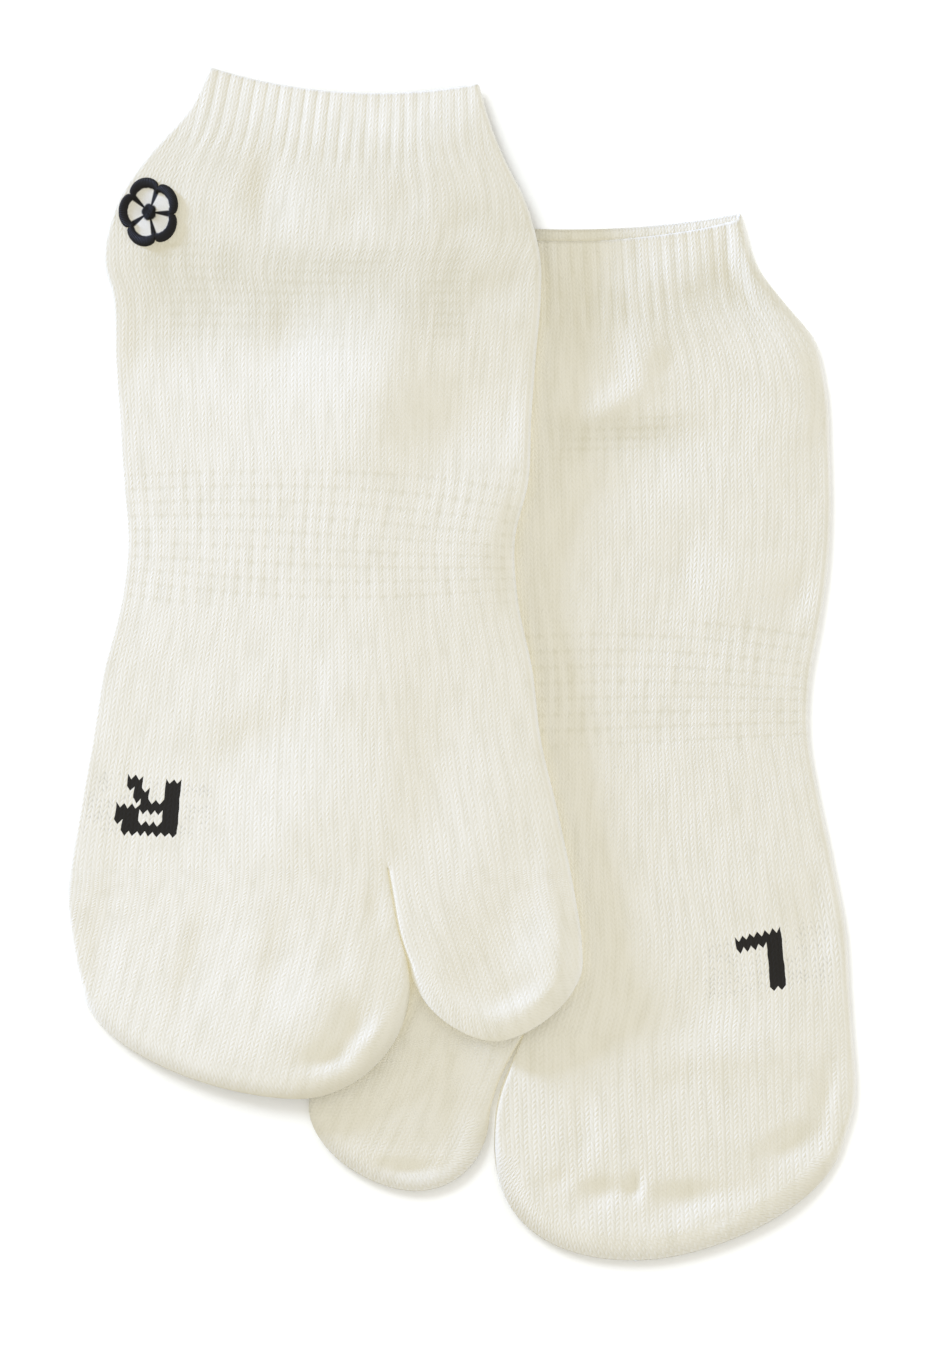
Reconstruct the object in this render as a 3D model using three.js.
// Pair of tabi ankle socks, laid flat with the right sock lying on the left one.
//
// A sock is a knitted tube that parts into two pockets, one for the big toe and one for the
// other toes. Laid flat, it is a front and a back panel joined by rounded side folds. The
// tables give its width at each section, measured along the foot from the toe end to the cuff.
// Millimetres, +Z up; the toes point to -Y and the socks rest on z = 0.
import * as THREE from 'three';

// ---------------------------------------------------------------- driving dimensions

const wall = 1.1; // thickness of the knitted fabric
const airGap = 1.2; // space left between the front and the back panel
const height = 2 * wall + airGap; // a flat sock from the floor to its front
const seamGap = 0.3; // space between two pieces that lie on each other
const cleftGap = 0.8; // space between the two toe pockets
const socksApart = 69; // between the long axes of the two socks
const toesApart = 39; // how much further down the left sock's toe end lies

const arcSteps = 4; // facets round each side fold
const toeColumns = 9; // facets across a panel, on the side of the four toes
const bigToeColumns = 5; // facets across a panel, on the side of the big toe
const tipShares = [0.34, 0.62, 0.82, 0.94, 0.99]; // sections of a toe end, from its shoulder

const cuffReach = 65; // how far below the cuff edge its slant and dip still show
const rampLength = 32; // the right sock rises over this width onto the left one
const rampLead = 4; // and is fully up this far before the left sock's edge
const foldMargin = 8; // folds fade out this close to a side fold

const emblemRadius = 7.4;
const emblemDepth = 0.9;
const emblemPetals = 5;
const emblemPetalSteps = 8;
const emblemPlace = { x: -41, along: 209.3, turn: 104 };

const clothColour = '#efece0';
const emblemColour = '#26262a';

// ---------------------------------------------------------------- the two socks

// along: distance from the end of the four toes; left, right: the side folds, from the long
// axis; split: the line that runs down to the fork of the toes. The last body row is the fork.
const rightSock = {
  axis: -socksApart / 2,
  toeEnd: toesApart,
  bigToeSide: 'right',
  cuff: { slant: -2.2, dip: 4.2, frontDrop: 0, frontDropFall: 0 },
  body: [
    { along: 241, left: -27, split: 5, right: 38.2 },
    { along: 231, left: -32.5, split: 5, right: 41.2 },
    { along: 222.5, left: -41, split: 5, right: 44.8 },
    { along: 214, left: -48, split: 5, right: 49.2 },
    { along: 206, left: -51.5, split: 5, right: 51.8 },
    { along: 199.5, left: -52.5, split: 5.5, right: 53 },
    { along: 192.5, left: -50.5, split: 6, right: 53 },
    { along: 178, left: -50, split: 7, right: 51.8 },
    { along: 163, left: -49, split: 8, right: 50.7 },
    { along: 148, left: -48, split: 9, right: 50 },
    { along: 134, left: -47, split: 10, right: 46.8 },
    { along: 119.5, left: -48.5, split: 11, right: 47.5 },
    { along: 102.5, left: -52.8, split: 12.5, right: 51 },
    { along: 86, left: -55.5, split: 14, right: 53 },
    { along: 69, left: -58.5, split: 15.5, right: 57 },
    { along: 55, left: -60.7, split: 16.3, right: 60 },
  ],
  toes: [
    { along: 50, left: -61.2, right: 17.2 },
    { along: 40, left: -60.5, right: 19 },
    { along: 32, left: -59, right: 21.2 },
    { along: 27, left: -57.8, right: 21.8 },
  ],
  toesTip: { along: 0, centre: -4.8, leftFullness: 1.75, rightFullness: 1.9 },
  bigToe: [
    { along: 47.5, left: 17.5, right: 61.4 },
    { along: 40, left: 19, right: 62.6 },
    { along: 32, left: 21.6, right: 63.1 },
  ],
  bigToeTip: { along: 13.7, centre: 42, leftFullness: 1.7, rightFullness: 1.6 },
};

const leftSock = {
  axis: socksApart / 2,
  toeEnd: 0,
  bigToeSide: 'left',
  cuff: { slant: 1, dip: 2.8, frontDrop: 2.9, frontDropFall: 1 },
  body: [
    { along: 247.5, left: -37.5, split: -5, right: 32.2 },
    { along: 234, left: -40, split: -5, right: 37 },
    { along: 226, left: -43, split: -5, right: 43.7 },
    { along: 219.5, left: -46, split: -5, right: 49.5 },
    { along: 210.5, left: -50, split: -5.5, right: 52.3 },
    { along: 194, left: -52.8, split: -6, right: 53.5 },
    { along: 182, left: -52.6, split: -7, right: 53.8 },
    { along: 166, left: -51.5, split: -8, right: 53 },
    { along: 152, left: -50, split: -9, right: 51 },
    { along: 140, left: -48, split: -10, right: 48.8 },
    { along: 125, left: -47.3, split: -11.5, right: 48.5 },
    { along: 115, left: -47.8, split: -12.5, right: 50.2 },
    { along: 96, left: -51.5, split: -14.5, right: 54.2 },
    { along: 77, left: -56.5, split: -17, right: 57.6 },
    { along: 66, left: -60.5, split: -18.5, right: 58.2 },
    { along: 54, left: -66.7, split: -20.2, right: 59 },
  ],
  toes: [
    { along: 48, left: -22.8, right: 59.5 },
    { along: 41, left: -25.7, right: 59.8 },
    { along: 35, left: -27, right: 59 },
    { along: 29, left: -27.4, right: 57 },
  ],
  toesTip: { along: 0, centre: 7.7, leftFullness: 2.4, rightFullness: 1.65 },
  bigToe: [
    { along: 48, left: -69.6, right: -23.5 },
    { along: 42, left: -71.3, right: -26.2 },
    { along: 36, left: -71.8, right: -28.1 },
  ],
  bigToeTip: { along: 16.6, centre: -46.3, leftFullness: 1.7, rightFullness: 2.1 },
};

// The largest folds of the front panels. A fold is a soft ridge, or a trough where its rise is
// below zero; lean turns its long axis clockwise from the foot's own direction.
rightSock.folds = [
  { x: -17.5, along: 216, width: 5, length: 9, lean: 0, rise: -0.7 },
  { x: -12, along: 191, width: 6, length: 32, lean: 93, rise: -0.45 },
  { x: 14, along: 172, width: 9, length: 18, lean: 10, rise: 0.5 },
  { x: 28, along: 160, width: 8, length: 12, lean: 28, rise: -0.8 },
  { x: 42, along: 132, width: 7, length: 14, lean: 0, rise: 0.5 },
  { x: 27, along: 82, width: 7, length: 20, lean: 0, rise: -0.6 },
  { x: -15, along: 87, width: 5, length: 13, lean: 63, rise: -0.45 },
  { x: -34, along: 33, width: 5, length: 14, lean: 17, rise: -0.8 },
  { x: -14.5, along: 31, width: 4, length: 12, lean: 12, rise: -0.75 },
  { x: 8, along: 17, width: 3.5, length: 9, lean: 8, rise: -0.8 },
  { x: -3, along: 20, width: 7, length: 9, lean: 0, rise: 0.7 },
  { x: 43, along: 35, width: 8, length: 12, lean: -5, rise: -0.8 },
];
leftSock.folds = [
  { x: 5, along: 216, width: 4, length: 9, lean: 0, rise: 0.6 },
  { x: 9, along: 197, width: 4, length: 17, lean: 91, rise: -0.8 },
  { x: 27, along: 236, width: 9, length: 10, lean: 0, rise: -0.4 },
  { x: 44, along: 206, width: 8, length: 12, lean: 0, rise: 0.5 },
  { x: 29, along: 160, width: 6, length: 9, lean: 15, rise: 0.45 },
  { x: 30, along: 51, width: 6, length: 16, lean: 90, rise: 0.6 },
  { x: -10, along: 50, width: 3, length: 9, lean: 90, rise: -0.6 },
  { x: 44, along: 28, width: 4, length: 8, lean: 65, rise: -0.6 },
  { x: -1, along: 17, width: 4, length: 8, lean: 90, rise: -0.8 },
  { x: 19, along: 16, width: 4, length: 8, lean: 86, rise: -0.7 },
  { x: -38, along: 33, width: 4, length: 9, lean: -5, rise: -0.6 },
  { x: -49, along: 23, width: 4, length: 8, lean: 90, rise: -0.7 },
];

// ---------------------------------------------------------------- shape rules

const radians = (degrees) => (degrees * Math.PI) / 180;

// 0 at or below `from`, 1 at or beyond `to`, with a soft start and end.
const ramp = (value, from, to) => THREE.MathUtils.smoothstep(value, from, to);

// Width of the sock at one distance along it, read off the table by straight lines.
function sideFold(rows, side, along) {
  const last = rows.length - 1;
  if (along >= rows[0].along) {
    return rows[0][side];
  }
  for (let i = 0; i < last; i += 1) {
    const upper = rows[i];
    const lower = rows[i + 1];
    if (along >= lower.along) {
      const share = (upper.along - along) / (upper.along - lower.along);
      return THREE.MathUtils.lerp(upper[side], lower[side], share);
    }
  }
  return rows[last][side];
}

// The edge of the whole sock on one side, with the toe pocket that lies on that side.
function outerEdge(sock, side, along) {
  const pocket = sock.bigToeSide === side ? sock.bigToe : sock.toes;
  return sideFold([...sock.body, ...pocket], side, along);
}

// How much the front panel stands above or below its plain level at one place.
function foldRise(sock, x, along) {
  const fromSide = Math.min(x - outerEdge(sock, 'left', along), outerEdge(sock, 'right', along) - x);
  const fade = ramp(fromSide, 1, foldMargin);
  let rise = 0;
  for (const fold of sock.folds) {
    const lean = radians(fold.lean);
    const dx = x - fold.x;
    const dy = along - fold.along;
    const across = (dx * Math.cos(lean) - dy * Math.sin(lean)) / fold.width;
    const down = (dx * Math.sin(lean) + dy * Math.cos(lean)) / fold.length;
    rise += fold.rise * Math.exp(-across * across - down * down);
  }
  return rise * fade;
}

// Height that the right sock is carried at where it lies on the left one.
function carriedHeight(x, along) {
  const worldX = x + rightSock.axis;
  const worldAlong = along + rightSock.toeEnd;
  const leftEdge = outerEdge(leftSock, 'left', worldAlong) + leftSock.axis;
  const cuffEdge = leftSock.body[0].along;
  const onSide = ramp(worldX, leftEdge - rampLead - rampLength, leftEdge - rampLead);
  const onCuff = 1 - ramp(worldAlong, cuffEdge + rampLead, cuffEdge + rampLead + rampLength);
  return (height + seamGap) * onSide * onCuff;
}

// Puts a point of the plain flat tube in its final place: the cuff edge slants and dips, the
// front panel takes its folds, and the right sock is carried by the left one.
function settle(sock, { x, along, z }) {
  const frontShare = THREE.MathUtils.clamp((z - wall) / airGap, 0, 1);
  const top = sock.body[0];
  const across = THREE.MathUtils.clamp((2 * (x - top.left)) / (top.right - top.left) - 1, -1, 1);
  const nearCuff = ramp(along, top.along - cuffReach, top.along);
  const drop = sock.cuff.frontDrop - sock.cuff.frontDropFall * Math.max(across, 0);
  const cuffShift = sock.cuff.slant * across + sock.cuff.dip * across * across - drop * frontShare;
  const carried = sock === rightSock ? carriedHeight(x, along) : 0;
  return new THREE.Vector3(
    sock.axis + x,
    sock.toeEnd + along + cuffShift * nearCuff,
    z + carried + foldRise(sock, x, along) * frontShare,
  );
}

// ---------------------------------------------------------------- building a closed surface

// Collects points and faces; rings are lists of point numbers in the same order round the tube.
class Surface {
  constructor() {
    this.points = [];
    this.faces = [];
  }

  addPoints(points) {
    return points.map((point) => this.points.push(point) - 1);
  }

  addQuad(a, b, c, d, inside) {
    const order = inside ? [a, b, c, a, c, d] : [a, c, b, a, d, c];
    this.faces.push(...order);
  }

  // Joins two rings of the same length all the way round.
  addBand(upper, lower, inside) {
    upper.forEach((point, i) => {
      const next = (i + 1) % upper.length;
      this.addQuad(point, upper[next], lower[next], lower[i], inside);
    });
  }

  // Closes the end of a pocket by sewing its front row to its back row.
  addEnd(ring, columns, inside) {
    const turn = (i) => (i + ring.length) % ring.length;
    const folds = arcSteps / 2;
    const first = -folds;
    const last = columns + folds;
    const opposite = (i) => turn(2 * columns + arcSteps - i);
    for (let i = first; i < last; i += 1) {
      const corners = [turn(i), turn(i + 1), opposite(i + 1), opposite(i)].map((n) => ring[n]);
      const [a, b, c, d] = corners;
      if (a === d) {
        this.faces.push(...(inside ? [a, b, c] : [a, c, b]));
      } else if (b === c) {
        this.faces.push(...(inside ? [a, b, d] : [a, d, b]));
      } else {
        this.addQuad(a, b, c, d, inside);
      }
    }
  }

  toGeometry() {
    const geometry = new THREE.BufferGeometry();
    geometry.setFromPoints(this.points);
    geometry.setIndex(this.faces);
    geometry.computeVertexNormals();
    return geometry;
  }
}

// Equal steps from one value to another, both included.
function steps(from, to, count) {
  return Array.from({ length: count + 1 }, (_, i) => THREE.MathUtils.lerp(from, to, i / count));
}

// One section of a flat tube: the front from left to right, the right fold, the back from right
// to left, and the left fold. Half is half the height of the section.
function sectionRing(columnXs, along, half) {
  const middle = height / 2;
  const leftCentre = columnXs[0];
  const rightCentre = columnXs[columnXs.length - 1];
  const bends = steps(0, Math.PI, arcSteps).slice(1, -1);
  const front = columnXs.map((x) => ({ x, along, z: middle + half }));
  const back = [...columnXs].reverse().map((x) => ({ x, along, z: middle - half }));
  const rightFold = bends.map((angle) => ({
    x: rightCentre + half * Math.sin(angle),
    along,
    z: middle + half * Math.cos(angle),
  }));
  const leftFold = bends.map((angle) => ({
    x: leftCentre - half * Math.sin(angle),
    along,
    z: middle - half * Math.cos(angle),
  }));
  return [...front, ...rightFold, ...back, ...leftFold];
}

// The sections of a pocket's rounded end. Each side follows a superellipse from the shoulder to
// the tip, fuller where its exponent is larger, and the section flattens to the end's edge.
function tipSections(shoulder, tip, inset) {
  const end = tip.along + inset;
  const half = height / 2 - inset;
  return tipShares.map((share) => {
    const along = THREE.MathUtils.lerp(shoulder.along, end, share);
    const reach = (fullness) => (1 - share ** fullness) ** (1 / fullness);
    const toEnd = Math.min((along - end) / half, 1);
    return {
      along,
      left: tip.centre - (tip.centre - shoulder.left) * reach(tip.leftFullness),
      right: tip.centre + (shoulder.right - tip.centre) * reach(tip.rightFullness),
      half: half * Math.sqrt(1 - (1 - toEnd) ** 2),
    };
  });
}

// One pocket from the fork of the toes to its end; its first ring is already in the surface.
function addPocket(surface, sock, rows, tip, columns, forkRing, inset) {
  const inside = inset > 0;
  const half = height / 2 - inset;
  const straight = rows.map((row) => ({
    along: row.along,
    left: row.left + inset,
    right: row.right - inset,
    half,
  }));
  const shoulder = straight[straight.length - 1];
  let upper = forkRing;
  for (const row of [...straight, ...tipSections(shoulder, tip, inset)]) {
    const narrow = Math.min(row.half, (row.right - row.left) / 3);
    const xs = steps(row.left + narrow, row.right - narrow, columns);
    const ring = sectionRing(xs, row.along, row.half);
    const lower = surface.addPoints(ring.map((point) => settle(sock, point)));
    surface.addBand(upper, lower, inside);
    upper = lower;
  }
  surface.addEnd(upper, columns, inside);
}

// The whole skin of a sock, on the outside (inset 0) or on the inside (inset = wall).
// It returns the ring at the cuff, where the two skins are joined.
function addSkin(surface, sock, inset) {
  const inside = inset > 0;
  const half = height / 2 - inset;
  const toesFirst = sock.bigToeSide === 'right';
  const leftColumns = toesFirst ? toeColumns : bigToeColumns;
  const rightColumns = toesFirst ? bigToeColumns : toeColumns;
  const fork = sock.body[sock.body.length - 1];
  const forkLift = inside ? 1.6 * wall : 0;

  // The tube from the cuff down to the fork.
  let cuffRing = null;
  let upper = null;
  for (const row of sock.body) {
    const along = row === fork ? row.along + forkLift : row.along;
    const leftXs = steps(row.left + inset + half, row.split, leftColumns);
    const rightXs = steps(row.split, row.right - inset - half, rightColumns);
    const ring = sectionRing([...leftXs, ...rightXs.slice(1)], along, half);
    const lower = surface.addPoints(ring.map((point) => settle(sock, point)));
    if (upper) {
      surface.addBand(upper, lower, inside);
    } else {
      cuffRing = lower;
    }
    upper = lower;
  }

  // The fork: a short web from the front to the back parts the ring in two.
  const columns = leftColumns + rightColumns;
  const front = upper.slice(0, columns + 1);
  const rightFold = upper.slice(columns + 1, columns + arcSteps);
  const back = upper.slice(columns + arcSteps, 2 * columns + arcSteps + 1).reverse();
  const leftFold = upper.slice(2 * columns + arcSteps + 1);
  const bends = steps(0, Math.PI, arcSteps).slice(1, -1);
  const web = surface.addPoints(bends.map((angle) => settle(sock, {
    x: fork.split,
    along: fork.along + forkLift,
    z: height / 2 + half * Math.cos(angle),
  })));
  const leftRing = [
    ...front.slice(0, leftColumns + 1),
    ...web,
    ...back.slice(0, leftColumns + 1).reverse(),
    ...leftFold,
  ];
  const rightRing = [
    ...front.slice(leftColumns),
    ...rightFold,
    ...back.slice(leftColumns).reverse(),
    ...[...web].reverse(),
  ];

  // The two pockets part at the fork and keep the cleft between them.
  const clear = cleftGap / 2;
  const atFork = inside ? [{ along: fork.along + 0.2, left: fork.left, right: fork.right }] : [];
  const leftRows = toesFirst ? sock.toes : sock.bigToe;
  const rightRows = toesFirst ? sock.bigToe : sock.toes;
  const leftTip = toesFirst ? sock.toesTip : sock.bigToeTip;
  const rightTip = toesFirst ? sock.bigToeTip : sock.toesTip;
  const leftPocket = [
    ...atFork.map((row) => ({ ...row, right: fork.split })),
    ...leftRows.map((row) => ({ ...row, right: row.right - clear })),
  ];
  const rightPocket = [
    ...atFork.map((row) => ({ ...row, left: fork.split })),
    ...rightRows.map((row) => ({ ...row, left: row.left + clear })),
  ];
  addPocket(surface, sock, leftPocket, leftTip, leftColumns, leftRing, inset);
  addPocket(surface, sock, rightPocket, rightTip, rightColumns, rightRing, inset);
  return cuffRing;
}

// A hollow sock: the outer skin, the inner skin and the rim that joins them at the cuff.
function makeSock(sock) {
  const surface = new Surface();
  const outerCuff = addSkin(surface, sock, 0);
  const innerCuff = addSkin(surface, sock, wall);
  surface.addBand(innerCuff, outerCuff, false);
  return surface.toGeometry();
}

// ---------------------------------------------------------------- the emblem

// A five-petalled blossom of embroidery, made from the points of the front panel, moved out.
function makeEmblem() {
  const surface = new Surface();
  const petalSteps = emblemPetals * emblemPetalSteps;
  const angles = steps(0, 2 * Math.PI, petalSteps).slice(0, -1);
  const layer = (share, lift) => angles.map((angle) => {
    const petal = Math.abs(Math.cos((emblemPetals * angle) / 2));
    const radius = share * emblemRadius * (0.8 + 0.2 * Math.sqrt(petal));
    const turned = angle + radians(emblemPlace.turn);
    const x = emblemPlace.x + radius * Math.cos(turned);
    const along = emblemPlace.along + radius * Math.sin(turned);
    const point = settle(rightSock, { x, along, z: height });
    point.z += seamGap + lift;
    return point;
  });
  const upper = [0.5, 1].map((share) => surface.addPoints(layer(share, emblemDepth)));
  const lower = [0.5, 1].map((share) => surface.addPoints(layer(share, 0)));
  const [top] = surface.addPoints([layer(0, emblemDepth)[0]]);
  const [bottom] = surface.addPoints([layer(0, 0)[0]]);
  angles.forEach((_, i) => {
    const next = (i + 1) % petalSteps;
    surface.faces.push(top, upper[0][i], upper[0][next]);
    surface.faces.push(bottom, lower[0][next], lower[0][i]);
  });
  surface.addBand(upper[0], upper[1], false);
  surface.addBand(upper[1], lower[1], false);
  surface.addBand(lower[1], lower[0], false);
  return surface.toGeometry();
}

// ---------------------------------------------------------------- assembly

function cloth(colour) {
  return new THREE.MeshStandardMaterial({ color: colour, roughness: 0.95, metalness: 0 });
}

function named(name, geometry, material) {
  const mesh = new THREE.Mesh(geometry, material);
  mesh.name = name;
  return mesh;
}

const pair = new THREE.Group();
pair.add(named('sock_left', makeSock(leftSock), cloth(clothColour)));
pair.add(named('sock_right', makeSock(rightSock), cloth(clothColour)));
pair.add(named('emblem', makeEmblem(), cloth(emblemColour)));

// The origin is below the middle of the pair, on the surface it rests on.
const bounds = new THREE.Box3().setFromObject(pair);
const centre = bounds.getCenter(new THREE.Vector3());
pair.position.set(-centre.x, -centre.y, -bounds.min.z);

export default pair;
